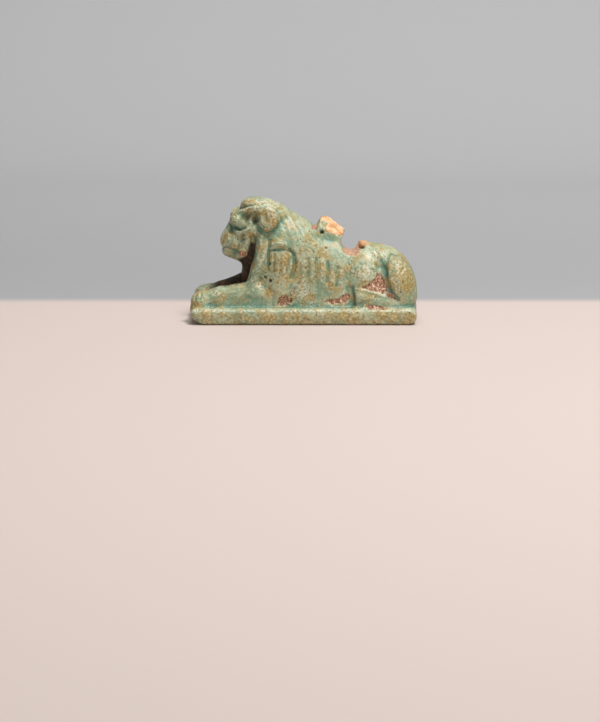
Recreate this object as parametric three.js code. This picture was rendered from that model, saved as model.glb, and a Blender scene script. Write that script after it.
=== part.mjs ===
// A lion lying on a thin plinth: an amulet of glazed faience, pressed and carved as one piece.
// The suspension loop on its back is broken off. A stump of it leans back behind the mane, and what was
// its hole is now an open groove across the back.
// Millimetres, +Z up, the head towards -X, its left side at -Y. The origin is the middle of the underside.

import * as THREE from 'three';

// Driving sizes, in millimetres.
const plinthLength = 35.5;
const overhang = 0.25; // the paws and the rump stand out past the plinth's ends
const figureLength = plinthLength + 2 * overhang; // the lion, from its forepaws to its rump
const plinthWidth = 12.4;
const plinthHeight = 2.6;
const plinthEdgeRadius = 0.8; // along the plinth's edges
const plinthToeRadius = 2.2; // under its front end, which is worn round
const plinthHeelRadius = 1.2; // under its rear end
const plinthFillet = 0.45; // the glaze that fills the crease round the lion
const loopHoleDiameter = 2.75; // the suspension loop's hole, which runs across the back
const loopWidth = 3.8; // the loop, across the back

// How finely the surface is cut.
const cell = 0.36; // spacing of the sampling grid
const triangleCount = 9600;

// The lion is a free form, so its carving is in shares of its length: one unit is a hundredth of it.
// Its own frame starts in the middle of the plinth's top. Its left side is described, at -Y.
const unit = figureLength / 100;
const loopHole = { x: 20, z: 27.5, radius: loopHoleDiameter / 2 / unit };

// Every form is a function of x, y and z: below nought inside, and about the distance to its surface.

// The lesser of two distances, with the crease between them filled to a softness.
const softLesser = (a, b, soft) => {
  const share = Math.max(soft - Math.abs(a - b), 0) / soft;
  return Math.min(a, b) - (share * share * soft) / 4;
};

const join = (soft, ...forms) => (x, y, z) =>
  forms.reduce((nearest, form) => softLesser(nearest, form(x, y, z), soft), 1e3);

const carve = (soft, form, ...tools) => (x, y, z) =>
  tools.reduce((left, tool) => -softLesser(-left, tool(x, y, z), soft), form(x, y, z));

// The form on the left side, and its mirror image on the right.
const bothSides = (form) => (x, y, z) => form(x, -Math.abs(y), z);

// The form carried straight down from a height, as what rests on the plinth is.
const settled = (height, form) => (x, y, z) => form(x, y, Math.max(z, height));

// A form described about a centre, whose top leans forwards by an angle in degrees.
const leaning = (angle, [cx, cy, cz], form) => {
  const cos = Math.cos(THREE.MathUtils.degToRad(angle));
  const sin = Math.sin(THREE.MathUtils.degToRad(angle));
  return (x, y, z) => form(cos * (x - cx) + sin * (z - cz), y - cy, cos * (z - cz) - sin * (x - cx));
};

const ellipsoid = (centre, [rx, ry, rz], lean = 0) =>
  leaning(lean, centre, (x, y, z) => {
    const reach = Math.hypot(x / rx, y / ry, z / rz);
    return (reach * (reach - 1)) / Math.max(Math.hypot(x / rx / rx, y / ry / ry, z / rz / rz), 1e-6);
  });

// A box with round edges.
const block = ([cx, cy, cz], [hx, hy, hz], radius) => (x, y, z) => {
  const u = Math.abs(x - cx) - hx + radius;
  const v = Math.abs(y - cy) - hy + radius;
  const w = Math.abs(z - cz) - hz + radius;
  return Math.hypot(Math.max(u, 0), Math.max(v, 0), Math.max(w, 0)) + Math.min(Math.max(u, v, w), 0) - radius;
};

// A limb with round ends that tapers from one point to the other.
const limb = ([ax, ay, az], [bx, by, bz], ra, rb) => {
  const [dx, dy, dz] = [bx - ax, by - ay, bz - az];
  const lengthSquared = dx * dx + dy * dy + dz * dz;
  return (x, y, z) => {
    const along = ((x - ax) * dx + (y - ay) * dy + (z - az) * dz) / lengthSquared;
    const t = Math.min(Math.max(along, 0), 1);
    return Math.hypot(x - ax - t * dx, y - ay - t * dy, z - az - t * dz) - ra - t * (rb - ra);
  };
};

// A roll of even thickness along a smooth curve through a few points.
const roll = (radius, ...points) => {
  const curve = new THREE.CatmullRomCurve3(points.map((point) => new THREE.Vector3(...point)));
  const stations = curve.getPoints(points.length * 2).map((point) => point.toArray());
  const pieces = stations.slice(1).map((end, i) => limb(stations[i], end, radius, radius));
  return (x, y, z) => pieces.reduce((nearest, piece) => Math.min(nearest, piece(x, y, z)), 1e3);
};

// The head: heavy eyes under a rolled brow, a broad muzzle with two pads, full cheeks and a small chin.
function head() {
  const skull = ellipsoid([-20.5, 0, 35], [9.6, 10.2, 10.4]);
  const forehead = ellipsoid([-25.8, 0, 37], [5.6, 6.4, 4.6], -10);
  const eyes = bothSides(ellipsoid([-28.9, -5.2, 37.4], [3.6, 3.7, 3.3]));
  const bridge = limb([-29.6, 0, 36.6], [-33.6, 0, 30.2], 2.7, 2.5);
  const muzzle = bothSides(ellipsoid([-32.1, -2.5, 28], [4.6, 4.1, 4.9], 8));
  const cheeks = bothSides(ellipsoid([-26.4, -5.7, 28], [5, 4.5, 7.6], 8));
  const cheekbones = bothSides(limb([-29.5, -5.6, 32.4], [-21.5, -9.6, 33.4], 2.1, 1.9));
  const chin = ellipsoid([-31.6, 0, 22.6], [4.7, 4.7, 2.6], -14);
  const jaw = ellipsoid([-26.8, 0, 23.2], [4.6, 7, 5], -24);
  const skin = join(2, skull, forehead, join(1.8, cheeks, jaw));
  const face = join(1.2, skin, eyes, cheekbones, bridge, muzzle, chin);
  const mouth = bothSides(roll(0.5, [-37, 0, 24.7], [-36, -3, 24.5], [-33, -6.4, 24], [-29.5, -8, 23.6]));
  const underEyes = bothSides(roll(0.7, [-33, -3.4, 34.9], [-31, -7.2, 34.4], [-27.4, -9.2, 34.4]));
  return carve(0.6, face, mouth, underEyes);
}

// The ruff's tuft over the forehead, and the rolled brow that runs back from the nose over the ear.
function ruff() {
  const tuft = ellipsoid([-16.4, 0, 40.8], [11.8, 10.2, 5.4], -16);
  const brow = roll(
    1.15,
    [-31.2, -3.8, 38.9],
    [-28.4, -6.2, 40.5],
    [-24, -8.2, 42.2],
    [-18, -9.6, 43],
    [-13.4, -10.2, 42],
    [-10.8, -11, 38.6],
  );
  return join(0.8, tuft, bothSides(brow));
}

// A round ear, dished on its outside, with a deep hollow between it and the temple.
function ear() {
  const shell = ellipsoid([-15.8, -11.4, 39], [4.9, 4.1, 5.4], 8);
  const dish = ellipsoid([-17.4, -16.2, 39], [3, 2.1, 3.4]);
  return carve(0.8, shell, dish);
}

const earHollow = ellipsoid([-21.6, -12.2, 38.4], [2, 3.6, 3.6]);

// The mane: a sloping cape, the breast with a bib at its front, and a roll down its front edge.
function mane() {
  const cape = ellipsoid([-7.6, 0, 22.4], [22.6, 13.4, 16.9], -29);
  const nape = limb([-13, 0, 37.2], [-1, 0, 28.6], 7.2, 5.8);
  const breast = ellipsoid([-12, 0, 12], [11.4, 13, 20]);
  const bib = ellipsoid([-20.6, 0, 14], [6.7, 7, 15]);
  const edge = roll(2.7, [-18.4, -10.4, 30.5], [-18.6, -10.8, 25], [-20.2, -10.8, 18], [-22.6, -10.4, 10]);
  return join(1.8, join(4, cape, nape, breast), bib, bothSides(edge));
}

const jawGap = roll(1.2, [-22.8, -12.5, 31.6], [-22.4, -11.8, 27], [-23.6, -11.5, 21], [-26, -11, 14.5]);

function trunk() {
  const belly = settled(8, ellipsoid([8, 0, 8], [34, 13, 22.2]));
  const rump = ellipsoid([32.5, 0, 4.6], [17.2, 13.2, 21.3]);
  return join(5, belly, rump);
}

// The upper foreleg: an upright panel in a groove on the mane's side, with a lump over its top.
const shoulder = block([-10, -9.3, 14], [5.4, 5.1, 11.6], 4.6);
const shoulderCap = ellipsoid([-10.8, -12.2, 27.6], [3.9, 1.9, 1.9]);
const shoulderGroove = roll(
  0.9,
  [-15.9, -14, 12],
  [-16, -14, 22],
  [-13.6, -14.2, 25.8],
  [-8.4, -14.2, 26],
  [-4.6, -13.6, 23.6],
  [-3.8, -13.4, 17],
  [-5, -13.6, 11],
);

// A foreleg, lying forwards on the plinth: the heights are of its paw, its wrist and its elbow.
function foreleg(paw, wrist, elbow, setBack) {
  const side = -8.6;
  const toes = ellipsoid([-44.6 + setBack, side, paw - 4.4], [5, 4.9, 4.4]);
  const shin = limb([-44 + setBack, side, paw - 4.4], [-36, side, wrist - 4.6], 4.2, 4.6);
  const arm = limb([-36, side, wrist - 4.6], [-22, side, elbow - 4.6], 4.6, 4.6);
  const rear = limb([-22, side, elbow - 4.6], [-12, side, 3.6], 4.6, 4.6);
  return join(1.2, settled(2, toes), settled(2, shin), settled(4.6, arm), settled(3.6, rear));
}

// The hind leg: a haunch that stands up steeply at its front edge, a hip before it and a foot at its base.
function hindLeg() {
  const haunch = ellipsoid([41.3, -7.4, 8.4], [8, 7.4, 13.2], 14);
  const front = (x, y, z) => x - 36.2 - 0.035 * (z - 13) ** 2;
  const hip = ellipsoid([26.6, -5.8, 13.6], [8.4, 7, 10.2], 14);
  const foot = settled(2.5, limb([24.6, -11.4, 4.7], [42, -11.6, 0.6], 3.5, 2.6));
  return join(1, carve(0.8, haunch, front), foot, join(3, hip, trunk()));
}

// The tail, curled forwards round the right haunch.
const tail = roll(1.3, [47, 2.6, 3], [46.4, 8, 2.8], [42.4, 14, 3], [35, 15.4, 4.4], [30, 14.6, 8], [28, 12.8, 12.4]);

const haunchValley = roll(2, [33.4, -14.6, 19.5], [34, -14.4, 14], [36.6, -14.6, 7.4]);

// What is left of the loop: a thick stump that leans back, snapped straight across, and the low lip of
// its rear foot.
function loop() {
  const halfWidth = loopWidth / unit / 2;
  const stump = leaning(-26.6, [11.4, 0, 32], block([0, 0, 0], [6.2, halfWidth, 5.8], 1.1));
  const frontBreak = (x, y, z) => 0.467 * (x - 13.7) - 0.336 * y + 0.82 * (z - 33.5);
  const foot = block([26.4, 0, 25], [2.9, halfWidth, 4.4], 0.9);
  const rearBreak = (x, y, z) => 0.3 * (x - 24) + 0.95 * (z - 28);
  return (x, y, z) =>
    Math.min(Math.max(stump(x, y, z), frontBreak(x, y, z)), Math.max(foot(x, y, z), rearBreak(x, y, z)));
}

// The hole across the back. It widens towards its mouths, most of all to the rear.
const hole = (x, y, z) => {
  const flare = 0.1 * Math.abs(y);
  return Math.hypot(x - loopHole.x - flare, z - loopHole.z) - loopHole.radius - flare;
};

function figure() {
  const leftLeg = foreleg(6.6, 8.9, 11.2, 0);
  const rightLeg = foreleg(7, 8.4, 14, 1);
  const forelegs = (x, y, z) => Math.min(leftLeg(x, y, z), rightLeg(x, -y, z));
  const body = carve(0.7, join(3, trunk(), mane()), bothSides(shoulderGroove), bothSides(jawGap));
  const shoulders = bothSides(join(1.2, shoulder, shoulderCap));
  const hindquarters = carve(1, join(1, body, bothSides(hindLeg())), bothSides(haunchValley));
  const front = join(0.9, head(), ruff(), bothSides(ear()));
  const masses = join(0.9, hindquarters, forelegs, shoulders, front, loop(), tail);
  return carve(0.5, masses, hole, bothSides(earHollow));
}

// The plinth: a slab with round edges, rounder under its two ends.
function plinth(x, y, z) {
  const lowerRadius = x < 0 ? plinthToeRadius : plinthHeelRadius;
  const endRadius = z > plinthHeight / 2 ? plinthEdgeRadius : lowerRadius;
  const rounded = (a, b, radius) =>
    Math.hypot(Math.max(a + radius, 0), Math.max(b + radius, 0)) + Math.min(Math.max(a, b) + radius, 0) - radius;
  const profile = rounded(Math.abs(x) - plinthLength / 2, Math.max(z - plinthHeight, -z), endRadius);
  return rounded(profile, Math.abs(y) - plinthWidth / 2, plinthEdgeRadius);
}

const lion = figure();

const amulet = (x, y, z) => {
  const onPlinth = lion(x / unit, y / unit, (z - plinthHeight) / unit) * unit;
  const clearOfUnderside = Math.max(onPlinth, plinthHeight / 2 - z);
  return softLesser(clearOfUnderside, plinth(x, y, z), plinthFillet);
};

// Wraps a form in a closed net, with one point in each cell of a grid that the surface crosses.
function wrap(form, low, high, step) {
  const [nx, ny, nz] = high.map((end, axis) => Math.ceil((end - low[axis]) / step) + 1);
  const stride = [1, nx, nx * ny];
  const place = (n) => [n % nx, Math.floor(n / nx) % ny, Math.floor(n / stride[2])];
  const value = Float64Array.from({ length: nx * ny * nz }, (_, n) => {
    const [x, y, z] = place(n).map((count, axis) => low[axis] + count * step);
    return form(x, y, z) || 1e-9;
  });
  const isInside = (n) => value[n] < 0;
  const cells = value.length - stride[0] - stride[1] - stride[2];

  // Where two corners across a square or a cell from each other are alone on their side of the surface, it
  // would touch itself there, so the outer corner nearest to it is taken inside.
  const fill = (corners, opposites) => {
    const touches = opposites.some((pair) => {
      const others = corners.filter((n) => !pair.includes(n));
      return isInside(pair[0]) === isInside(pair[1]) && others.every((n) => isInside(n) !== isInside(pair[0]));
    });
    if (!touches) return false;
    const outer = corners.filter((n) => !isInside(n));
    const nearest = outer.reduce((best, n) => (value[n] < value[best] ? n : best));
    value[nearest] = -Math.min(value[nearest], step / 10);
    return true;
  };
  for (let changed = true; changed; ) {
    changed = false;
    for (let n = 0; n < cells; n++) {
      const [y, z] = [n + stride[1], n + stride[2]];
      const corners = [n, n + 1, y, y + 1, z, z + 1, z + stride[1], z + stride[1] + 1];
      const square = (...at) => at.map((c) => corners[c]);
      for (const [a, b, c, d] of [square(0, 1, 2, 3), square(0, 1, 4, 5), square(0, 2, 4, 6)]) {
        changed = fill([a, b, c, d], [[a, d], [b, c]]) || changed;
      }
      changed = fill(corners, [square(0, 7), square(1, 6), square(2, 5), square(3, 4)]) || changed;
    }
  }

  const points = [];
  const pointIn = new Int32Array(value.length).fill(-1);
  const corner = [0, 1, 2, 3, 4, 5, 6, 7].map((c) => [c & 1, (c >> 1) & 1, c >> 2]);
  for (let n = 0; n < cells; n++) {
    const middle = new THREE.Vector3();
    let crossings = 0;
    corner.forEach((from, c) => {
      for (let axis = 0; axis < 3; axis++) {
        if (from[axis]) continue;
        const a = n + from[0] + from[1] * stride[1] + from[2] * stride[2];
        const b = a + stride[axis];
        if (isInside(a) === isInside(b)) continue;
        const crossing = new THREE.Vector3(...from);
        crossing.setComponent(axis, value[a] / (value[a] - value[b]));
        middle.add(crossing);
        crossings++;
      }
    });
    if (!crossings) continue;
    middle.divideScalar(crossings).add(new THREE.Vector3(...place(n))).multiplyScalar(step);
    pointIn[n] = points.push(middle.add(new THREE.Vector3(...low))) - 1;
  }

  const faces = [];
  for (let axis = 0; axis < 3; axis++) {
    const u = stride[(axis + 1) % 3];
    const v = stride[(axis + 2) % 3];
    for (let n = stride[2]; n < cells; n++) {
      if (isInside(n) === isInside(n + stride[axis])) continue;
      const ring = [n, n - u, n - u - v, n - v].map((cellAt) => pointIn[cellAt]);
      if (!isInside(n)) ring.reverse();
      const [a, b, c, d] = ring;
      const first = points[a].distanceToSquared(points[c]) < points[b].distanceToSquared(points[d]);
      faces.push(...(first ? [[a, b, c], [a, c, d]] : [[a, b, d], [b, c, d]]));
    }
  }
  return { points, faces };
}

// A heap of entries, the least cost first.
class Queue {
  entries = [];

  add(entry) {
    const { entries } = this;
    let at = entries.push(entry) - 1;
    while (at > 0) {
      const parent = (at - 1) >> 1;
      if (entries[parent].cost <= entry.cost) break;
      entries[at] = entries[parent];
      at = parent;
    }
    entries[at] = entry;
  }

  take() {
    const { entries } = this;
    const first = entries[0];
    const last = entries.pop();
    if (!entries.length) return first;
    let at = 0;
    for (;;) {
      let child = 2 * at + 1;
      if (child >= entries.length) break;
      if (child + 1 < entries.length && entries[child + 1].cost < entries[child].cost) child++;
      if (entries[child].cost >= last.cost) break;
      entries[at] = entries[child];
      at = child;
    }
    entries[at] = last;
    return first;
  }
}

// Thins a closed net to a number of triangles, by drawing together whichever edge moves the surface least.
// Each point carries the sum of squared distances to the planes it stands for, as ten coefficients.
function thin({ points, faces }, target) {
  const sums = points.map(() => new Float64Array(10));
  const around = points.map(() => new Set());
  const changes = new Int32Array(points.length);

  const areaVector = (a, b, c) => new THREE.Vector3().subVectors(b, a).cross(new THREE.Vector3().subVectors(c, a));

  faces.forEach((face, f) => {
    const normal = areaVector(...face.map((p) => points[p]));
    const area = normal.length() / 2;
    normal.normalize();
    const plane = [normal.x, normal.y, normal.z, -normal.dot(points[face[0]])];
    for (const p of face) {
      around[p].add(f);
      let at = 0;
      for (let i = 0; i < 4; i++) {
        for (let j = i; j < 4; j++) sums[p][at++] += area * plane[i] * plane[j];
      }
    }
  });

  // The best place for the point that would replace an edge, and what that costs. A faint pull towards
  // the edge's middle settles the place where the surface is flat.
  const offer = (a, b) => {
    const q = sums[a].map((share, i) => share + sums[b][i]);
    const middle = new THREE.Vector3().addVectors(points[a], points[b]).multiplyScalar(0.5);
    const pull = 1e-3 * (q[0] + q[4] + q[7]) + 1e-12;
    const slopes = new THREE.Matrix3(q[0] + pull, q[1], q[2], q[1], q[4] + pull, q[5], q[2], q[5], q[7] + pull);
    const place = middle.clone().multiplyScalar(pull).sub(new THREE.Vector3(q[3], q[6], q[8]));
    const { x, y, z } = place.applyMatrix3(slopes.invert());
    const squares = q[0] * x * x + q[4] * y * y + q[7] * z * z;
    const products = q[1] * x * y + q[2] * x * z + q[5] * y * z + q[3] * x + q[6] * y + q[8] * z;
    const cost = Math.max(squares + 2 * products + q[9], 0) + 1e-6 * points[a].distanceToSquared(points[b]);
    return { cost, a, b, place, seen: changes[a] + changes[b] };
  };

  const neighbours = (p) => {
    const found = new Set();
    for (const f of around[p]) for (const other of faces[f]) if (other !== p) found.add(other);
    return found;
  };

  // How far a triangle is from a sliver: its area over the square of its longest side.
  const fullness = (corners, size) =>
    size / Math.max(...corners.map((corner, i) => corner.distanceToSquared(corners[(i + 1) % 3])));

  // Whether each triangle that stays keeps its facing once its corner moves, and doesn't turn to a sliver.
  const keepsFacing = (p, gone, place) => {
    for (const f of around[p]) {
      if (faces[f].includes(gone)) continue;
      const corners = faces[f].map((q) => points[q]);
      const moved = faces[f].map((q) => (q === p ? place : points[q]));
      const before = areaVector(...corners);
      const after = areaVector(...moved);
      const wasFull = fullness(corners, before.length());
      const isFull = fullness(moved, after.length());
      if (isFull < 0.1 && isFull < wasFull) return false;
      if (wasFull > 0.01 && before.dot(after) < 0.3 * before.length() * after.length()) return false;
    }
    return true;
  };

  const queue = new Queue();
  for (const [a, b, c] of faces) {
    for (const [p, q] of [[a, b], [b, c], [c, a]]) if (p < q) queue.add(offer(p, q));
  }

  let count = faces.length;
  while (count > target && queue.entries.length) {
    const { a, b, place, seen } = queue.take();
    if (seen !== changes[a] + changes[b]) continue;
    const nearA = neighbours(a);
    const shared = [...neighbours(b)].filter((p) => nearA.has(p));
    if (shared.length !== 2 || !keepsFacing(a, b, place) || !keepsFacing(b, a, place)) continue;
    for (const f of around[b]) {
      if (faces[f].includes(a)) {
        for (const p of faces[f]) if (p !== b) around[p].delete(f);
        count--;
      } else {
        faces[f] = faces[f].map((p) => (p === b ? a : p));
        around[a].add(f);
      }
    }
    around[b].clear();
    points[a] = place;
    sums[a] = sums[a].map((share, i) => share + sums[b][i]);
    changes[a] += 1;
    changes[b] += 1e6;
    for (const p of neighbours(a)) queue.add(offer(Math.min(a, p), Math.max(a, p)));
  }

  const kept = [...new Set(around.flatMap((near) => [...near]))].map((f) => faces[f]);
  const used = [...new Set(kept.flat())];
  const number = new Map(used.map((p, i) => [p, i]));
  return { points: used.map((p) => points[p]), faces: kept.map((face) => face.map((p) => number.get(p))) };
}

// The grid reaches past the plinth and past the lion, on all sides.
const margin = 0.9;
const halfLength = Math.max(plinthLength / 2 + margin, figureLength / 2 + 0.6);
const halfWidth = Math.max(plinthWidth / 2 + margin, 19 * unit);
const low = [-halfLength, -halfWidth, -margin];
const high = [halfLength, halfWidth, plinthHeight + 51.1 * unit];
const net = thin(wrap(amulet, low, high, cell), triangleCount);
const geometry = new THREE.BufferGeometry().setFromPoints(net.points).setIndex(net.faces.flat());
geometry.computeVertexNormals();

const glaze = new THREE.MeshStandardMaterial({ color: 0x7fa590, roughness: 0.4, metalness: 0 });
const lionAmulet = new THREE.Mesh(geometry, glaze);
lionAmulet.name = 'lion_amulet';

export default new THREE.Group().add(lionAmulet);
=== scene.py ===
"""A faience lion amulet on its plinth, in soft studio light."""

from math import atan, cos, radians, sin

import bmesh
import bpy
import numpy as np
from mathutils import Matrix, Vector


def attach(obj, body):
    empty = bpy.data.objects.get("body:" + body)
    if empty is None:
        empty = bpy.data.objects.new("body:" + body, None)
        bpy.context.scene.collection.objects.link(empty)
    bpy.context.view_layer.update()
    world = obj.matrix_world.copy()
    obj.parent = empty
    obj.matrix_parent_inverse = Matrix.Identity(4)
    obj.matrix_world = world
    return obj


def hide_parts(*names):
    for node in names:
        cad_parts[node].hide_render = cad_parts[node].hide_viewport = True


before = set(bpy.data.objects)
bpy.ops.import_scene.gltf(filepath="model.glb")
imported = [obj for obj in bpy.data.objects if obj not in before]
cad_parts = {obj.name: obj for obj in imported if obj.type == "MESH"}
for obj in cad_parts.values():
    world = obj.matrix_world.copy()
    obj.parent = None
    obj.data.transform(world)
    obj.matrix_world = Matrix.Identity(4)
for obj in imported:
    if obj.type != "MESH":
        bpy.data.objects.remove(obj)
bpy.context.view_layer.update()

# The relief is drawn on a side view, seen from a little above, and its y runs down. The right side
# takes the same drawing in a mirror.
SHEET_UNIT = 36 / 227  # one unit of the side view, in mm
SHEET_ORIGIN = (303.85, 319.0)  # where the middle of the underside falls on it
TILT = radians(9.6)  # how far the view looks down
DISTANCE = 535.0  # from the view to the lion, in mm

MM_PER_M = 1000
FACE_SPACING = 0.165  # of the mesh to carve, in mm

# Places on the body, in mm.
UNDERSIDE = 0.12  # below this height nothing is carved
PLINTH_TOP = 2.6
HOLE_X, HOLE_Z = 7.2, 12.5  # the middle of the loop's hole, which crosses the back
HOLE_RADIUS = 1.46  # of the unglazed floor
LOOP_FOOT = 11.6  # the loop's remains stand above this height
LOOP_HALF_WIDTH = 2.6
STUMP_BREAK_FOOT = 12.6
LIP_START = 8  # the lip lies behind this x
SNAP_MIDDLE = np.array([4.93, 0, 14.66])  # on the stump's snapped face
SNAP_NORMAL = np.array([0.467, -0.336, 0.82])

RIGHT_SIDE_SHARE = 0.85  # the right side's carving is a little softer than the left's

# How strongly the surface is worked, in mm.
DENT_DEPTH = 0.13  # along the plinth's foot
HEEL_CREASE_DEPTH = 0.16  # under the rump
HEEL_CREASE_HEIGHT = PLINTH_TOP + 0.35
UNEVENNESS = 0.05
GRAIN_HEIGHT = 0.016
CORE_ROUGHNESS = 0.10
BREAK_LUMPS, BREAK_GRIT = 0.09, 0.05

# The mask of the hollows joins narrow creases with wide valleys: how far each looks, and the depth
# that counts as full.
CREASE_ROUNDS, CREASE_DEPTH = 5, 0.05
VALLEY_ROUNDS, VALLEY_DEPTH = 40, 0.30


# The mesh to carve.

def dense_copy(node):
    """The node's solid in millimetres, as small even faces."""
    mesh = node.data.copy()
    mesh.transform(node.matrix_world)
    obj = bpy.data.objects.new("lion", mesh)
    bpy.context.scene.collection.objects.link(obj)
    points = read_points(mesh) * MM_PER_M
    mesh.vertices.foreach_set("co", points.ravel())
    weld = obj.modifiers.new("weld", "WELD")
    weld.merge_threshold = 0.001
    remesh = obj.modifiers.new("remesh", "REMESH")
    remesh.mode = "VOXEL"
    remesh.voxel_size = FACE_SPACING
    remesh.adaptivity = 0
    graph = bpy.context.evaluated_depsgraph_get()
    dense = bpy.data.meshes.new_from_object(obj.evaluated_get(graph))
    obj.modifiers.clear()
    obj.data = dense
    return obj


def read_points(mesh):
    points = np.empty(len(mesh.vertices) * 3)
    mesh.vertices.foreach_get("co", points)
    return points.reshape(-1, 3)


def read_edges(mesh):
    edges = np.empty(len(mesh.edges) * 2, dtype=np.int32)
    mesh.edges.foreach_get("vertices", edges)
    return edges.reshape(-1, 2)


def move_points(mesh, points):
    """Moves the mesh's points, and gives the normals that it then has."""
    mesh.vertices.foreach_set("co", points.ravel())
    mesh.update()
    normals = np.empty(len(mesh.vertices) * 3, dtype=np.float32)
    mesh.vertex_normals.foreach_get("vector", normals)
    return normals.reshape(-1, 3).astype(float)


def spread(values, edges):
    """Each point's values, halfway to the mean of its neighbours."""
    total = np.zeros_like(values)
    count = np.zeros(len(values))
    for a, b in ((0, 1), (1, 0)):
        np.add.at(total, edges[:, a], values[edges[:, b]])
        np.add.at(count, edges[:, a], 1)
    return (values + total / count[:, None]) / 2


def hollowness(points, normals, edges, rounds):
    """How far each point lies below its surroundings, in mm. More rounds take in more of them."""
    mean = points
    for _ in range(rounds):
        mean = spread(mean, edges)
    return ((mean - points) * normals).sum(axis=1)


# Strokes.

def step(low, high, value):
    """A smooth rise from 0 at low to 1 at high."""
    t = np.clip((value - low) / (high - low), 0, 1)
    return t * t * (3 - 2 * t)


def lattice(cells, seed):
    """A number from 0 to 1 for each whole cell, as good as random."""
    mixed = (cells * np.array([374761393, 668265263, 306783378])).sum(axis=-1) + seed * 1013904223
    mixed = (mixed ^ (mixed >> 13)) * 1274126177 & 0x7FFFFFFF
    return ((mixed ^ (mixed >> 16)) & 0xFFFF) / 65535


def noise(points, size, seed):
    """Smooth noise from -1 to 1 with lumps of that size, in mm."""
    at = points / size
    base = np.floor(at).astype(np.int64)
    t = at - base
    t = t * t * (3 - 2 * t)
    total = 0
    for corner in range(8):
        offset = np.array([corner & 1, corner >> 1 & 1, corner >> 2])
        share = np.prod(np.where(offset, t, 1 - t), axis=1)
        total = total + share * lattice(base + offset, seed)
    return total * 2 - 1


def smooth_line(points, count=24):
    """A smooth line through a few points, as that many."""
    points = np.array(points, dtype=float)
    ends = np.vstack([2 * points[0] - points[1], points, 2 * points[-1] - points[-2]])
    stations = np.linspace(0, len(points) - 1 - 1e-6, count)
    at = stations.astype(int)
    t = (stations - at)[:, None]
    p0, p1, p2, p3 = (ends[at + i] for i in range(4))
    bend = 2 * p0 - 5 * p1 + 4 * p2 - p3
    twist = 3 * p1 - p0 - 3 * p2 + p3
    return 0.5 * (2 * p1 + (p2 - p0) * t + bend * t**2 + twist * t**3)


def line_distance(sheet, line):
    """How far each point lies from a line, on the side view."""
    best = np.full(len(sheet), 1e9)
    for a, b in zip(line[:-1], line[1:]):
        along = b - a
        t = np.clip(((sheet - a) @ along) / max(along @ along, 1e-9), 0, 1)
        best = np.minimum(best, np.linalg.norm(sheet - a - t[:, None] * along, axis=1))
    return best


def inside(sheet, outline):
    """How far inside an outline each point lies, negative outside it."""
    outline = np.array(outline)
    ring = np.vstack([outline, outline[:1]])
    x, y = sheet.T
    within = np.zeros(len(sheet), dtype=bool)
    for (ax, ay), (bx, by) in zip(ring[:-1], ring[1:]):
        if ay != by:
            within ^= ((ay > y) != (by > y)) & (x < ax + (bx - ax) * (y - ay) / (by - ay))
    return np.where(within, 1, -1) * line_distance(sheet, ring)


def ellipse(sheet, middle, half):
    """0 in the middle of an ellipse, 1 on its edge."""
    return np.linalg.norm((sheet - np.array(middle)) / np.array(half), axis=1)


def to_sheet(points):
    """Where points fall on the side view, the right side mirrored onto the left."""
    x, y, z = points[:, 0], -np.abs(points[:, 1]), points[:, 2]
    near = DISTANCE / (DISTANCE + y * cos(TILT) - z * sin(TILT)) / SHEET_UNIT
    across = SHEET_ORIGIN[0] + x * near
    down = SHEET_ORIGIN[1] - (z * cos(TILT) + y * sin(TILT)) * near
    return np.stack([across, down], axis=1)


# What is drawn on the side view.

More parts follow.
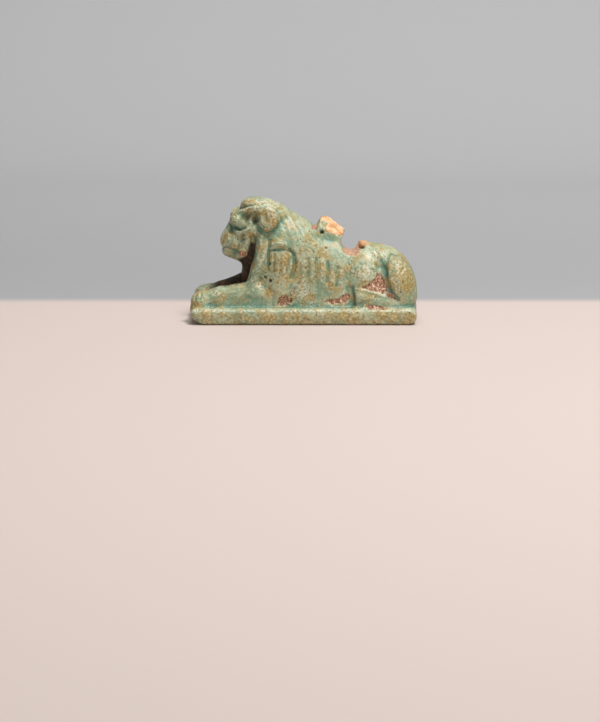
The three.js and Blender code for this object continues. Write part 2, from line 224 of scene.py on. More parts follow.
# Each line: width, height in mm (a groove's is negative), and its points.
LINES = [
    # mouth, the furrow behind the muzzle, and the crease under the eye
    (1.1, -0.20, [(221.5, 248.5), (227, 247.5), (232, 249), (237, 252)]),
    (2.2, -0.20, [(232, 231), (236, 238), (237.5, 246), (235.5, 254)]),
    (1.5, -0.30, [(230.5, 224.5), (235, 228), (240, 229.6), (245, 228)]),
    (2.2, 0.16, [(228, 233), (230, 240), (232, 247)]),
    # cheekbone
    (2.4, 0.26, [(244.5, 231), (250, 229.8), (255.5, 231.5)]),
    # the groove under the tuft, and the rolled brow below it
    (1.6, -0.28, [(240, 208.5), (246, 206.4), (253, 204.6), (262, 203.8)]),
    (1.5, 0.22, [(233, 213), (240, 211), (248, 209), (257, 206.6), (266, 205.8), (275, 208.6)]),
    (2.2, 0.15, [(245, 201.5), (253, 199.6), (261, 200.6)]),
    # the ear's inner edge and its rim
    (1.2, -0.20, [(263.5, 211), (259.5, 216), (260, 223), (264, 228)]),
    (1.6, 0.14, [(266, 210), (273, 211.5), (276, 218), (274, 226), (267, 230.5)]),
    # the gap behind the jaw, and the roll down the mane's front edge
    (2.2, -0.42, [(253.5, 238), (252.4, 249), (250.6, 258), (249, 268), (246.8, 278)]),
    (1.5, -0.14, [(258.5, 236), (257.4, 247), (255, 258), (253, 268)]),
    (2.3, 0.22, [(267, 242), (264.5, 252), (260.5, 263), (258.5, 273)]),
    (2.2, 0.14, [(261, 238), (260, 246)]),
    # round the shoulder's panel
    (1.2, -0.30, [(270.2, 240), (268.9, 250), (268.2, 260), (267.6, 270)]),
    (1.3, -0.15, [(270, 250.8), (277, 250), (285, 250.4), (290, 251.8)]),
    (1.8, -0.30, [(289.5, 250), (293.8, 255), (295, 263), (293.4, 271), (291.4, 278)]),
    (1.8, 0.20, [(272.5, 244.6), (278, 243.4), (285.5, 244.8)]),
    # its flutes
    (1.1, -0.128, [(274.2, 254), (273.6, 263), (273.8, 271)]),
    (1.1, -0.096, [(281, 258), (280.4, 266), (279.6, 274)]),
    (1.1, -0.112, [(287, 254), (287.6, 262), (286.4, 272)]),
    (1.3, 0.096, [(277.4, 255), (277, 264), (276.4, 274)]),
    (1.3, 0.096, [(284, 255), (284.2, 264), (283, 274)]),
    (1.4, 0.144, [(290.6, 256), (291.4, 264), (289.8, 272)]),
    # the mane's locks
    (1.2, -0.049, [(273, 232), (279, 237), (284, 241)]),
    (1.2, -0.049, [(277, 214), (283, 224), (288, 236), (292, 246)]),
    (1.2, -0.049, [(284, 212), (290, 222), (295, 234), (299, 246), (300.5, 258)]),
    (1.2, -0.046, [(291, 213), (297, 223), (302, 235), (306, 247), (306.5, 258)]),
    (1.1, -0.038, [(298, 217), (304, 227), (309, 238), (313, 250), (313.5, 258)]),
    (1.2, 0.03, [(287, 213), (293.5, 223), (298.5, 235), (302.5, 247)]),
    (1.2, 0.03, [(280, 213), (286.5, 223), (291.5, 235), (295.5, 246)]),
    # ribs
    (1.7, -0.165, [(308.8, 259), (308.8, 268), (307.6, 277)]),
    (1.7, -0.15, [(316.4, 258), (316.4, 269), (315.4, 279)]),
    (1.8, -0.165, [(327.6, 262), (328, 271), (327, 281)]),
    (1.7, -0.18, [(337.6, 267), (337.6, 277), (336.4, 286)]),
    (1.8, 0.12, [(303.6, 262), (304, 271), (303, 281)]),
    (1.8, 0.135, [(312.6, 261), (312.6, 271), (311.4, 281)]),
    (1.9, 0.135, [(321.4, 261), (321.8, 271), (320.6, 283)]),
    (2.0, 0.128, [(332.4, 264), (333, 275), (331.6, 285)]),
    # hind foot, haunch and hip
    (1.6, -0.2, [(352.4, 287), (353, 294), (354.4, 304)]),
    (3.6, -0.22, [(348.6, 288), (350, 296), (351, 304)]),
    (1.3, 0.12, [(355.5, 289), (364, 291), (374, 293.4), (386, 297)]),
    (2.4, -0.40, [(381, 260), (385.5, 271), (387, 282), (390.5, 291.5), (398, 299)]),
    (1.2, -0.2, [(388, 259), (391.4, 254.4), (397, 256.2)]),
    (1.3, -0.16, [(403.4, 262.5), (403.4, 268), (400, 274)]),
    (2.3, 0.26, [(373.5, 251.5), (377, 256.5), (381, 263)]),
    (2.2, 0.14, [(391, 259), (389.5, 270), (391, 282)]),
    # toes
    (0.9, -0.16, [(196.6, 292.8), (195, 299)]),
    (0.9, -0.16, [(201.5, 291.5), (200.6, 299.5)]),
]

# Each spot: its middle, half its width and height, and its height in mm.
SPOTS = [
    ((254.4, 220.0), (2.4, 3.6), -0.25),
    ((255.0, 227.0), (2.6, 2.6), 0.35),
    ((241.6, 240), (4.0, 6.5), -0.42),
    ((261.5, 219.5), (2.4, 4.6), 0.18),
    ((236, 220), (5.2, 4.0), 0.14),
    ((247.4, 218), (4.4, 4.6), -0.3),
    ((230, 240), (4.2, 7.0), 0.24),
    # the hollow before the haunch, the haunch, and the stump's rounded top
    ((379.5, 265), (4.4, 6.5), -0.4),
    ((396.5, 276), (7.5, 17), 0.24),
    ((331.5, 219.5), (6.0, 4.5), 0.55),
]

# Each pit, on the left side only: its middle, half its width and height, and its depth in mm.
PITS = [
    ((322.0, 232.2), (1.7, 1.6), 0.75),
    # under the lip's overhang: a pit darkened as painted shade where the lip shades it
    ((361.3, 247.0), (3.2, 1.2), 0.6),
    ((265.8, 213.4), (0.7, 0.8), 0.35),
    ((271.3, 216.5), (0.7, 0.7), 0.35),
    ((238.6, 229.4), (1.1, 0.8), 0.35),
    ((244.6, 239.8), (1.2, 0.8), 0.2),
    ((265.3, 277.2), (1.4, 1.3), 0.3),
    ((270.0, 280.6), (1.5, 1.7), 0.35),
    ((269.6, 263.6), (1.2, 1.4), 0.25),
    ((326.0, 248.0), (0.9, 1.0), 0.25),
    ((309.6, 231.4), (0.8, 0.8), 0.2),
    ((350.8, 256.4), (0.7, 0.6), 0.15),
    ((305.8, 268.4), (0.8, 0.8), 0.2),
    ((373.2, 269.2), (0.8, 0.8), 0.2),
    ((375.2, 297.4), (0.8, 0.7), 0.2),
    ((400.5, 292.3), (0.8, 0.8), 0.25),
]

# Patches where the glaze is gone: depth in mm, and the outline.
BARE = [
    (0.16, [(277, 303.5), (279, 297.5), (283, 295.5), (290, 296.5), (293.5, 299), (293, 303),
            (288, 304.5), (282, 305)]),
    (0.06, [(290.5, 286.5), (294, 289), (297.5, 295), (296, 298.5), (292.5, 294)]),
    (0.14, [(322.5, 303), (327, 299.5), (334, 299), (341, 296.5), (346, 294), (349.6, 295),
            (350.2, 299), (346, 302.4), (338, 304), (330, 303.4)]),
    (0.30, [(363, 287.5), (370, 282), (375, 277), (377, 273), (381, 273.6), (383.4, 279),
            (385.6, 286), (387.4, 292), (384, 293.4), (377, 292), (371, 290.6)]),
    (0.12, [(386.6, 291.6), (390, 293.4), (399.4, 300.4), (398.4, 302), (392, 298.6),
            (386, 294.4)]),
    (0.12, [(365.4, 307), (369, 304.8), (376, 304.4), (384, 305.8), (390.4, 308.6),
            (386, 310.2), (376, 308.6), (369, 309.6)]),
    (0.06, [(237.6, 253.2), (241.6, 251.6), (246.4, 252.8), (246.4, 256.2), (241.6, 257.8)]),
    (0.05, [(310, 225.4), (313.6, 223.6), (317.6, 222.6), (318, 227.6), (315.6, 229.6),
            (312, 228.4)]),
]

# The loop's two breaks, as the left side shows them.
STUMP_BREAK = [
    (329.4, 219.4), (334.5, 219), (340, 224), (346, 229.6), (346, 234.6), (342.4, 235.2),
    (334.6, 234.2), (326, 231.4), (324.8, 228), (327.4, 222.6),
]
LIP_BREAK = [
    (355, 248), (356.6, 242.6), (359, 239), (366, 240.6), (371, 243.8), (365.4, 245.4),
    (363, 249), (358.8, 248.6),
]

# Dark brown painted shade behind the jaw and down the throat, where the jaw and mane shade it.
THROAT_SHADE = [
    (239, 259), (244.5, 256.5), (248.6, 250), (250.4, 243), (253.6, 243), (253.8, 252),
    (251.6, 263), (249.4, 272), (246, 281), (238, 284), (228, 284), (237, 277), (242, 271),
    (242, 264),
]

# Thinner painted shade in the hollows of the face, before the hind foot and before the haunch:
# middle, half width and height, strength.
SHADE = [
    ((254.2, 220.6), (3.0, 5.0), 0.65),
    ((241.6, 240), (4.8, 8), 0.42),
    ((248, 217.6), (5.4, 4.6), 0.42),
    ((237.5, 228.6), (6.5, 1.9), 0.5),
    ((353.6, 296), (2.4, 8), 0.3),
    ((383.5, 272), (3.4, 12), 0.3),
]

# Where the glaze is cream, in specks, and where specks of painted highlight lie on the near paw's
# top, the tuft, the hip ridge, the mane's front ridge and the brow: middle, half width and height,
# strength.
CREAM_AND_HIGHLIGHT_SPOTS = [
    ((362, 271), (12, 9), 0.9),
    ((259.5, 284.6), (5.5, 3.2), 1.0),
    ((302, 290), (8, 10), 0.8),
    # painted highlight on the near paw's top
    ((216, 293.6), (7, 2.6), 0.8),
    # painted highlight on the tuft
    ((270, 201.5), (14, 4), 0.7),
    ((315, 244), (8, 7), 0.5),
    # painted highlight on the hip ridge
    ((374, 256), (8, 6), 0.7),
    # painted highlight on the mane's front ridge
    ((262.4, 256), (3, 14), 0.6),
    # painted highlight on the brow ridge and under the tuft, this line and the next
    ((250, 208.6), (14, 2.8), 0.8),
    ((268, 206.4), (10, 2.6), 0.8),
]

# Where the glaze has turned ochre: middle, half width and height, strength.
OCHRE = [
    ((271, 219), (8, 12), 1.0),
    ((280, 263), (12, 14), 0.8),
    ((262, 283), (14, 6), 0.55),
    ((268, 292), (18, 5), 0.6),
    ((236, 221), (7, 6), 0.4),
    ((248, 219), (6, 6), 0.5),
    ((310, 272), (34, 14), 0.6),
    ((250, 205), (14, 6), 0.5),
    ((231, 244), (6, 9), 0.3),
    ((246, 241), (8, 12), 0.5),
    ((305, 268), (10, 20), 0.4),
    ((292, 225), (16, 16), 0.35),
    ((345, 272), (10, 8), 0.7),
    ((316, 262), (14, 10), 0.35),
    ((402, 279), (15, 26), 0.95),
    ((396, 258), (9, 6), 0.6),
    ((325, 222), (9, 8), 0.5),
    ((204, 297), (14, 6), 0.4),
    ((196, 311), (12, 14), 0.6),
]

class Skin:
    """The mesh's points in mm, with what the strokes need to know of each."""

    def __init__(self, points, normals):
        self.points = points
        self.normals = normals
        self.x, self.y, self.z = points.T
        self.left = self.y < 0
        self.sheet = to_sheet(points)
        outwards = np.where(self.left, -1, 1) * normals[:, 1]
        self.facing = step(0.05, 0.35, cos(TILT) * outwards + sin(TILT) * normals[:, 2])
        self.lump = noise(points, 1.1, 3) + 0.5 * noise(points, 0.5, 4)


def stroked(skin):
    """The height of the grooves, ridges and swellings."""
    height = np.zeros(len(skin.points))
    for width, rise, line in LINES:
        away = line_distance(skin.sheet, smooth_line(line)) / width
        height += rise * np.exp(-(away**2)) * skin.facing
    for middle, half, rise in SPOTS:
        height += rise * np.exp(-(ellipse(skin.sheet, middle, half) ** 2)) * skin.facing
    return height * np.where(skin.left, 1, RIGHT_SIDE_SHARE)


def plinth_wear(skin):
    """The depth of the dents along the plinth's foot, and of the crease under the rump."""
    foot = step(0.8, 0.2, skin.z) * step(0, 0.2, skin.z)
    dents = DENT_DEPTH * step(0.25, 0.9, noise(skin.points, 1.6, 11)) * foot
    away = (skin.z - HEEL_CREASE_HEIGHT) / 0.28
    crease = HEEL_CREASE_DEPTH * np.exp(-(away**2)) * step(16.6, 17.4, skin.x)
    return dents + crease


def pitted(skin):
    """The pits' depth, and the mask that darkens them."""
    depth_here = np.zeros(len(skin.points))
    dark = np.zeros(len(skin.points))
    for middle, half, depth in PITS:
        hit = np.exp(-(ellipse(skin.sheet, middle, half) ** 4)) * skin.facing * skin.left
        depth_here += depth * hit
        dark = np.maximum(dark, hit * min(depth * 3, 1))
    return depth_here, dark


def chipped(skin):
    """The depth of the patches without glaze, and their mask."""
    depth_here = np.zeros(len(skin.points))
    bare = np.zeros(len(skin.points))
    ragged = 1.3 * skin.lump + 0.7 * noise(skin.points, 0.3, 12)
    for depth, outline in BARE:
        patch = step(-0.5, 0.7, inside(skin.sheet, outline) + ragged) * skin.facing * skin.left
        depth_here += depth * patch
        bare = np.maximum(bare, patch)
    return depth_here, bare


def hole_floor(skin):
    """The mask of the hole's smooth floor, which was never glazed."""
    aside = np.abs(skin.y)
    from_axis = np.hypot(skin.x - HOLE_X - 0.1 * aside, skin.z - HOLE_Z)
    near = step(HOLE_RADIUS + 0.22, HOLE_RADIUS, from_axis - 0.1 * aside + 0.06 * skin.lump)
    return near * step(6.1, 6.4, skin.x) * step(13.2, 12.2, skin.z)


def loop_breaks(skin):
    """The masks of the stump's fresh break and of the lip's."""
    loop = (skin.z > LOOP_FOOT) * (np.abs(skin.y) < LOOP_HALF_WIDTH)
    # On the right, the break is all that faces along the snapped plane.
    outside = (skin.points - SNAP_MIDDLE) @ SNAP_NORMAL
    snapped = step(-0.5, -0.3, outside) * step(0.6, 0.8, skin.normals @ SNAP_NORMAL)
    drawn = step(-0.5, 0.5, inside(skin.sheet, STUMP_BREAK) + 0.35 * skin.lump)
    on_stump = loop * (skin.x < HOLE_X) * (skin.z > STUMP_BREAK_FOOT)
    stump = np.where(skin.left, drawn, snapped) * on_stump
    torn = step(-0.5, 0.5, inside(skin.sheet, LIP_BREAK) + 0.5 * skin.lump)
    return stump, torn * loop * (skin.x > LIP_START)


def clouded(skin, table, outer, inner):
    """The strongest of a table's soft ellipses at each point."""
    mask = np.zeros(len(skin.points))
    for middle, half, strength in table:
        reach = ellipse(skin.sheet, middle, half) + 0.12 * skin.lump
        mask = np.maximum(mask, strength * step(outer, inner, reach))
    return mask


def painted_shade_places(skin):
    """Painted shade, dark brown, lies between the forelegs, in the throat and in the hollows of
    the face.
    """
    # painted shade between the forelegs, where the head shades the far leg's inner side
    low = step(3.9, 3.1, np.abs(skin.y)) * step(8.6, 7.2, skin.z)
    between_legs = low * step(-15.6, -13.4, skin.x) * step(-6.5, -8, skin.x)
    throat = step(-2.2, 1.4, inside(skin.sheet, THROAT_SHADE) + 0.6 * skin.lump) * skin.facing
    return np.maximum.reduce([between_legs, throat, clouded(skin, SHADE, 1.4, 0.3)])


def carve(skin):
    """How far each point moves along its normal, in mm, and the masks that colour it."""
    points, z = skin.points, skin.z
    pit_depth, pits = pitted(skin)
    chip_depth, bare = chipped(skin)
    floor = hole_floor(skin)
    stump, lip = loop_breaks(skin)
    bare = np.maximum.reduce([bare, floor, stump, lip])

    height = stroked(skin) - plinth_wear(skin) - pit_depth - chip_depth
    height += UNEVENNESS * skin.lump * (1 - floor) * step(0.3, 1.2, z)
    height += GRAIN_HEIGHT * noise(points, 0.32, 5)
    height += CORE_ROUGHNESS * (bare - floor - stump).clip(0) * noise(points, 0.42, 6)
    torn = BREAK_LUMPS * noise(points, 0.55, 8) + BREAK_GRIT * noise(points, 0.3, 9)
    height += np.maximum(stump, lip) * torn

    plinth_side = 0.95 * step(2.35, 1.75, z)
    # a painted highlight along the plinth's rounded top edge, in cream
    plinth_edge_highlight = 0.5 * step(2.0, 2.3, z) * step(2.75, 2.5, z) * step(5.0, 5.6, np.abs(skin.y))
    return height, {
        "bare": bare,
        "fresh": np.maximum(stump, 0.6 * lip),
        "floor": np.maximum(floor, lip),
        "pits": pits,
        "ochre": np.maximum(clouded(skin, OCHRE, 1.25, 0.5), plinth_side),
        # cream specks, with painted highlight on ridges and on the plinth's top edge
        "cream_and_highlight": np.maximum(clouded(skin, CREAM_AND_HIGHLIGHT_SPOTS, 1.3, 0.5), plinth_edge_highlight),
        # dark brown painted shade, kept off the bare core
        "painted_shade": painted_shade_places(skin) * (1 - bare),
    }


def sculpt(node):
    """The lion, carved, with the masks of its finish."""
    obj = dense_copy(node)
    mesh = obj.data
    edges = read_edges(mesh)
    points = read_points(mesh)
    flat = points[:, 2] < 0.04
    for _ in range(3):
        points = spread(points, edges)
    points[flat, 2] = 0
    normals = move_points(mesh, points)
    height, masks = carve(Skin(points, normals))
    height[points[:, 2] < UNDERSIDE] = 0
    points = points + normals * height[:, None]
    points[:, 2] = points[:, 2].clip(0)
    normals = move_points(mesh, points)
    creases = hollowness(points, normals, edges, CREASE_ROUNDS) / CREASE_DEPTH
    valleys = hollowness(points, normals, edges, VALLEY_ROUNDS) / VALLEY_DEPTH
    masks["hollow"] = np.clip(creases + valleys, -1, 1) * 0.5 + 0.5
    for name, values in masks.items():
        layer = mesh.attributes.new(name, "FLOAT", "POINT")
        layer.data.foreach_set("value", values.astype(np.float32))
    mesh.vertices.foreach_set("co", (points / MM_PER_M).ravel())
    mesh.polygons.foreach_set("use_smooth", np.ones(len(mesh.polygons), dtype=bool))
    mesh.update()
    return obj


# Materials.

def colour(r, g, b):
    """An sRGB colour from 0 to 255, as linear."""
    return tuple(((c / 255 + 0.055) / 1.055) ** 2.4 for c in (r, g, b)) + (1.0,)


GLAZE_GREEN = colour(124, 146, 116)
GLAZE_PALE = colour(166, 172, 140)
GLAZE_OLIVE = colour(156, 144, 92)
GLAZE_TURQUOISE = colour(66, 116, 98)
OCHRE_DEEP = colour(134, 112, 58)
OCHRE_SAND = colour(184, 160, 100)
CREAM_RUBBED = colour(206, 200, 172)
CREAM_AND_HIGHLIGHT_SPECK = colour(220, 214, 188)
CREAM_DOT = colour(214, 208, 178)
BROWN_DOT = colour(104, 96, 60)
PINHOLE_BROWN = colour(66, 54, 32)
# the dark browns of the painted shade
SHADE_BROWN_DEEP = colour(34, 20, 8)
SHADE_BROWN_LIGHT = colour(84, 56, 30)
CORE_BROWN = colour(140, 98, 72)
CORE_PINK = colour(190, 148, 118)
CORE_WHITE_GRIT = colour(230, 202, 176)
CORE_DARK_GRIT = colour(84, 54, 38)
FLOOR_BROWN = colour(164, 124, 98)
FLOOR_PINK = colour(192, 156, 128)
BREAK_ORANGE = colour(190, 134, 84)
BREAK_CREAM = colour(222, 186, 144)
PIT_BROWN = colour(66, 42, 26)
PAPER_PINK = colour(200, 185, 177)
PAPER_GREY = colour(156, 156, 157)
PAPER_GREY_FAR_PAINTED_LIGHT = colour(174, 174, 175)

# The mottling's scales: name, lumps per mm, and how much finer detail each has.
MOTTLING = [
    ("Clouds", 0.32, 5.0),
    ("Blotches", 0.72, 3.0),
    ("Speckle", 2.8, 3.0),
    ("Grain", 7.0, 2.0),
]

# Where the paper turns to grey, and where the grey is painted paler further back as painted light
# that makes up for the lamps' falloff, in metres behind the lion.
PINK_END, GREY_START = 0.0150, 0.0215
PAINTED_LIGHT_START, PAINTED_LIGHT_END = 0.03, 0.20


def new_node(tree, kind, **inputs):
    node = tree.nodes.new(kind)
    for name, value in inputs.items():
        node.inputs[name.replace("_", " ")].default_value = value
    return node


def ramp(tree, source, low, high):
    """A value from 0 at low to 1 at high."""
    node = new_node(tree, "ShaderNodeMapRange", From_Min=low, From_Max=high)
    node.interpolation_type = "SMOOTHSTEP"
    tree.links.new(source, node.inputs["Value"])
    return node.outputs["Result"]


def calc(tree, operation, a, b):
    node = tree.nodes.new("ShaderNodeMath")
    node.operation = operation
    node.use_clamp = operation in ("ADD", "SUBTRACT", "MAXIMUM")
    for socket, value in zip(node.inputs, (a, b)):
        if isinstance(value, (int, float)):
            socket.default_value = value
        else:
            tree.links.new(value, socket)
    return node.outputs[0]


def times(tree, a, b):
    return calc(tree, "MULTIPLY", a, b)


def mix(tree, share, a, b):
    """A colour between two, b where the share is 1."""
    node = tree.nodes.new("ShaderNodeMix")
    node.data_type = "RGBA"
    tree.links.new(share, node.inputs["Factor"])
    for index, value in ((6, a), (7, b)):
        if isinstance(value, tuple):
            node.inputs[index].default_value = value
        else:
            tree.links.new(value, node.inputs[index])
    return node.outputs[2]


def lay(tree, below, tint, mask, strength):
    """A tint laid over what is below it where a mask says, up to a strength."""
    return mix(tree, times(tree, mask, strength), below, tint)


def millimetres(tree):
    """Object coordinates in millimetres."""
    place = tree.nodes.new("ShaderNodeTexCoord")
    scaled = tree.nodes.new("ShaderNodeVectorMath")
    scaled.operation = "SCALE"
    scaled.inputs["Scale"].default_value = MM_PER_M
    tree.links.new(place.outputs["Object"], scaled.inputs[0])
    return scaled.outputs["Vector"]


def mottling_group():
    """Millimetres in, four scales of mottling out."""
    group = bpy.data.node_groups.new("mottling", "ShaderNodeTree")
    group.interface.new_socket("Millimetres", in_out="INPUT", socket_type="NodeSocketVector")
    begin = group.nodes.new("NodeGroupInput")
    end = group.nodes.new("NodeGroupOutput")
    for name, scale, detail in MOTTLING:
        group.interface.new_socket(name, in_out="OUTPUT", socket_type="NodeSocketFloat")
        texture = new_node(group, "ShaderNodeTexNoise", Scale=scale, Detail=detail, Roughness=0.54)
        group.links.new(begin.outputs["Millimetres"], texture.inputs["Vector"])
        group.links.new(texture.outputs["Fac"], end.inputs[name])
    return group


def mottling(tree, place):
    """The four scales of mottling at a place."""
    node = tree.nodes.new("ShaderNodeGroup")
    node.node_tree = mottling_group()
    tree.links.new(place, node.inputs["Millimetres"])
    return node.outputs


def read_mask(tree, name):
    node = tree.nodes.new("ShaderNodeAttribute")
    node.attribute_name = name
    return node.outputs["Fac"]


def pinhole_dots(tree, place, clouds):
    """Pinholes in the glaze, in some areas only."""
    cells = new_node(tree, "ShaderNodeTexVoronoi", Scale=1.5, Randomness=1.0)
    tree.links.new(place, cells.inputs["Vector"])
    dots = ramp(tree, cells.outputs["Distance"], 0.22, 0.12)
    return times(tree, dots, ramp(tree, clouds, 0.46, 0.54))


def glaze_colour(tree, mottle, pinholes):
    """Pale on what stands out, deep turquoise where it pooled, with ochre, cream, painted
    highlight and dark brown painted shade.
    """
    blotches, speckle = mottle["Blotches"], mottle["Speckle"]
    hollow = read_mask(tree, "hollow")
    glaze = mix(tree, ramp(tree, mottle["Clouds"], 0.40, 0.60), GLAZE_GREEN, GLAZE_PALE)
    glaze = mix(tree, ramp(tree, blotches, 0.48, 0.66), glaze, GLAZE_OLIVE)
    glaze = lay(tree, glaze, GLAZE_TURQUOISE, ramp(tree, hollow, 0.46, 0.86), 0.85)
    # Ochre comes in blotches.
    leaning = calc(tree, "ADD", blotches, times(tree, read_mask(tree, "ochre"), 0.2))
    ochre = mix(tree, ramp(tree, speckle, 0.24, 0.76), OCHRE_DEEP, OCHRE_SAND)
    glaze = lay(tree, glaze, ochre, ramp(tree, leaning, 0.42, 0.80), 0.88)
    # Cream shows where edges are rubbed, and in specks; on the ridges and the plinth's top edge
    # the specks are painted highlight.
    rubbed = times(tree, ramp(tree, hollow, 0.50, 0.10), ramp(tree, speckle, 0.44, 0.66))
    glaze = lay(tree, glaze, CREAM_RUBBED, rubbed, 0.6)
    cream_and_highlight_specks = times(tree, read_mask(tree, "cream_and_highlight"), ramp(tree, speckle, 0.42, 0.56))
    glaze = lay(tree, glaze, CREAM_AND_HIGHLIGHT_SPECK, cream_and_highlight_specks, 0.6)
    glaze = lay(tree, glaze, CREAM_DOT, ramp(tree, speckle, 0.60, 0.70), 0.5)
    glaze = lay(tree, glaze, BROWN_DOT, ramp(tree, speckle, 0.44, 0.34), 0.35)
    glaze = lay(tree, glaze, PINHOLE_BROWN, pinholes, 0.8)
    # Painted shade, dark brown, in the throat, between the forelegs and in the hollows.
    shade_brown = mix(tree, ramp(tree, blotches, 0.46, 0.64), SHADE_BROWN_DEEP, SHADE_BROWN_LIGHT)
    painted_shade_share = times(tree, read_mask(tree, "painted_shade"), ramp(tree, speckle, 0.20, 0.36))
    return lay(tree, glaze, shade_brown, painted_shade_share, 0.96)


def core_colour(tree, mottle):
    """The gritty core, the hole's smooth floor and the loop's fresh breaks."""
    speckle = mottle["Speckle"]
    core = mix(tree, ramp(tree, mottle["Grain"], 0.38, 0.62), CORE_BROWN, CORE_PINK)
    core = lay(tree, core, CORE_WHITE_GRIT, ramp(tree, speckle, 0.55, 0.64), 0.8)
    core = lay(tree, core, CORE_DARK_GRIT, ramp(tree, speckle, 0.46, 0.36), 0.8)
    smooth = mix(tree, ramp(tree, speckle, 0.4, 0.6), FLOOR_BROWN, FLOOR_PINK)
    core = mix(tree, read_mask(tree, "floor"), core, smooth)
    clean = mix(tree, ramp(tree, mottle["Blotches"], 0.40, 0.62), BREAK_ORANGE, BREAK_CREAM)
    return mix(tree, read_mask(tree, "fresh"), core, clean)


def faience():
    """The glaze, and the core where the glaze is gone."""
    material = bpy.data.materials.new("faience")
    material.use_nodes = True
    tree = material.node_tree
    shader = tree.nodes["Principled BSDF"]
    shader.inputs["Specular IOR Level"].default_value = 0.5
    place = millimetres(tree)
    mottle = mottling(tree, place)
    speckle = mottle["Speckle"]
    pinholes = pinhole_dots(tree, place, mottle["Clouds"])

    ragged = times(tree, calc(tree, "SUBTRACT", speckle, 0.5), 0.5)
    broken = ramp(tree, calc(tree, "ADD", read_mask(tree, "bare"), ragged), 0.42, 0.58)
    surface = mix(tree, broken, glaze_colour(tree, mottle, pinholes), core_colour(tree, mottle))
    surface = lay(tree, surface, PIT_BROWN, read_mask(tree, "pits"), 0.85)
    tree.links.new(surface, shader.inputs["Base Color"])

    matt = calc(tree, "MAXIMUM", broken, read_mask(tree, "painted_shade"))
    roughness = calc(tree, "ADD", times(tree, matt, 0.5), times(tree, speckle, 0.28))
    tree.links.new(calc(tree, "ADD", roughness, 0.26), shader.inputs["Roughness"])

    relief = calc(tree, "ADD", times(tree, speckle, 0.6), times(tree, mottle["Grain"], 0.3))
    relief = calc(tree, "SUBTRACT", relief, times(tree, pinholes, 0.5))
    bump = new_node(tree, "ShaderNodeBump", Strength=0.55, Distance=0.00012)
    tree.links.new(relief, bump.inputs["Height"])
    tree.links.new(bump.outputs["Normal"], shader.inputs["Normal"])
    return material


def paper():
    """Pale paper under the lion, turning to grey some way behind it; the grey is painted paler
    further back as painted light against the lamps' falloff.
    """
    material = bpy.data.materials.new("paper")
    material.use_nodes = True
    tree = material.node_tree
    shader = tree.nodes["Principled BSDF"]
    shader.inputs["Roughness"].default_value = 0.7
    shader.inputs["Specular IOR Level"].default_value = 0.2
    place = tree.nodes.new("ShaderNodeTexCoord")
    split = tree.nodes.new("ShaderNodeSeparateXYZ")
    tree.links.new(place.outputs["Object"], split.inputs["Vector"])
    back = split.outputs["Y"]
    # painted light: the grey paler further back, where the lamps fall off
    grey = mix(tree, ramp(tree, back, PAINTED_LIGHT_START, PAINTED_LIGHT_END), PAPER_GREY, PAPER_GREY_FAR_PAINTED_LIGHT)
    tone = mix(tree, ramp(tree, back, PINK_END, GREY_START), PAPER_PINK, grey)
    tree.links.new(tone, shader.inputs["Base Color"])
    return material


# The stage, in metres.

PAPER_WIDTH = 1.6
PAPER_FRONT = -0.6
BEND_START = 0.17  # where the paper starts to rise behind the lion
BEND_RADIUS = 0.08
BEND_STEPS = 16
PAPER_RISE = 0.72  # above the bend

LION_MIDDLE = (0, 0, 0.008)

# Each lamp: its name, its place, what it points at, its width, and its power in watts.
LAMPS = [
    ("key", (0.13, -0.13, 0.40), LION_MIDDLE, 0.15, 1.8),
    ("fill", (0.10, -0.55, 0.20), LION_MIDDLE, 0.5, 1.0),
    ("wall", (0.0, 0.05, 0.45), (0, 0.25, 0.05), 0.3, 0.7),
]
ROOM_LIGHT = 0.12
ROOM_TINT = (1, 0.98, 0.96, 1)

# The camera's picture, and its focal length in the picture's own units.
PICTURE_WIDTH, PICTURE_HEIGHT = 600, 722
FOCAL = DISTANCE / SHEET_UNIT
SENSOR = 36


def only_verts(geometry):
    return [part for part in geometry if isinstance(part, bmesh.types.BMVert)]


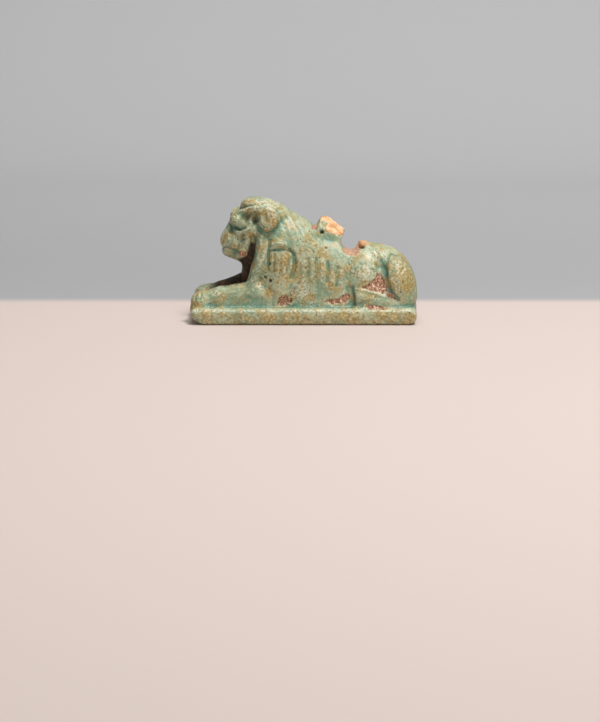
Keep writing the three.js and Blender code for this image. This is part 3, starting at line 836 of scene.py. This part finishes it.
def sweep():
    """One sheet of paper, flat under the lion and curving up behind it."""
    sheet = bmesh.new()
    left = -PAPER_WIDTH / 2
    front = sheet.verts.new((left, PAPER_FRONT, 0))
    bend = sheet.verts.new((left, BEND_START, 0))
    sheet.edges.new((front, bend))
    middle = (left, BEND_START, BEND_RADIUS)
    turned = bmesh.ops.spin(
        sheet, geom=[bend], cent=middle, axis=(1, 0, 0), angle=radians(90), steps=BEND_STEPS
    )
    risen = bmesh.ops.extrude_vert_indiv(sheet, verts=only_verts(turned["geom_last"]))
    bmesh.ops.translate(sheet, verts=risen["verts"], vec=(0, 0, PAPER_RISE))
    across = bmesh.ops.extrude_edge_only(sheet, edges=sheet.edges[:])
    bmesh.ops.translate(sheet, verts=only_verts(across["geom"]), vec=(PAPER_WIDTH, 0, 0))
    bmesh.ops.recalc_face_normals(sheet, faces=sheet.faces[:])
    foremost = min(sheet.faces, key=lambda face: face.calc_center_median().y)
    if foremost.normal.z < 0:
        bmesh.ops.reverse_faces(sheet, faces=sheet.faces[:])
    for face in sheet.faces:
        face.smooth = True
    mesh = bpy.data.meshes.new("paper")
    sheet.to_mesh(mesh)
    sheet.free()
    mesh.materials.append(paper())
    obj = bpy.data.objects.new("paper", mesh)
    bpy.context.scene.collection.objects.link(obj)


def lamp(name, place, aim, width, watts):
    data = bpy.data.lights.new(name, "AREA")
    data.shape = "DISK"
    data.size = width
    data.energy = watts
    obj = bpy.data.objects.new(name, data)
    obj.location = place
    obj.rotation_euler = (Vector(aim) - Vector(place)).to_track_quat("-Z", "Y").to_euler()
    bpy.context.scene.collection.objects.link(obj)


def light_room():
    """Soft lamps, and a little light from all sides."""
    for settings in LAMPS:
        lamp(*settings)
    world = bpy.data.worlds.new("studio")
    bpy.context.scene.world = world
    world.use_nodes = True
    background = world.node_tree.nodes["Background"]
    background.inputs["Color"].default_value = ROOM_TINT
    background.inputs["Strength"].default_value = ROOM_LIGHT


def set_camera():
    """The camera, which sees the lion just as the side view draws it."""
    camera = bpy.data.cameras.new("camera")
    camera.sensor_width = SENSOR
    camera.lens = FOCAL / PICTURE_HEIGHT * SENSOR
    camera.clip_start = 0.01
    view = bpy.data.objects.new("camera", camera)
    bpy.context.scene.collection.objects.link(view)
    metres = DISTANCE / MM_PER_M
    view.location = (0, -metres * cos(TILT), metres * sin(TILT))
    above = atan((PICTURE_HEIGHT / 2 - SHEET_ORIGIN[1]) / FOCAL)
    aside = atan((SHEET_ORIGIN[0] - PICTURE_WIDTH / 2) / FOCAL)
    view.rotation_euler = (radians(90) - TILT - above, 0, aside)
    bpy.context.scene.camera = view
    bpy.context.scene.view_settings.view_transform = "Standard"


lion = sculpt(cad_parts["lion_amulet"])
lion.data.materials.clear()
lion.data.materials.append(faience())
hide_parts("lion_amulet")
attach(lion, "root")

sweep()
light_room()
set_camera()
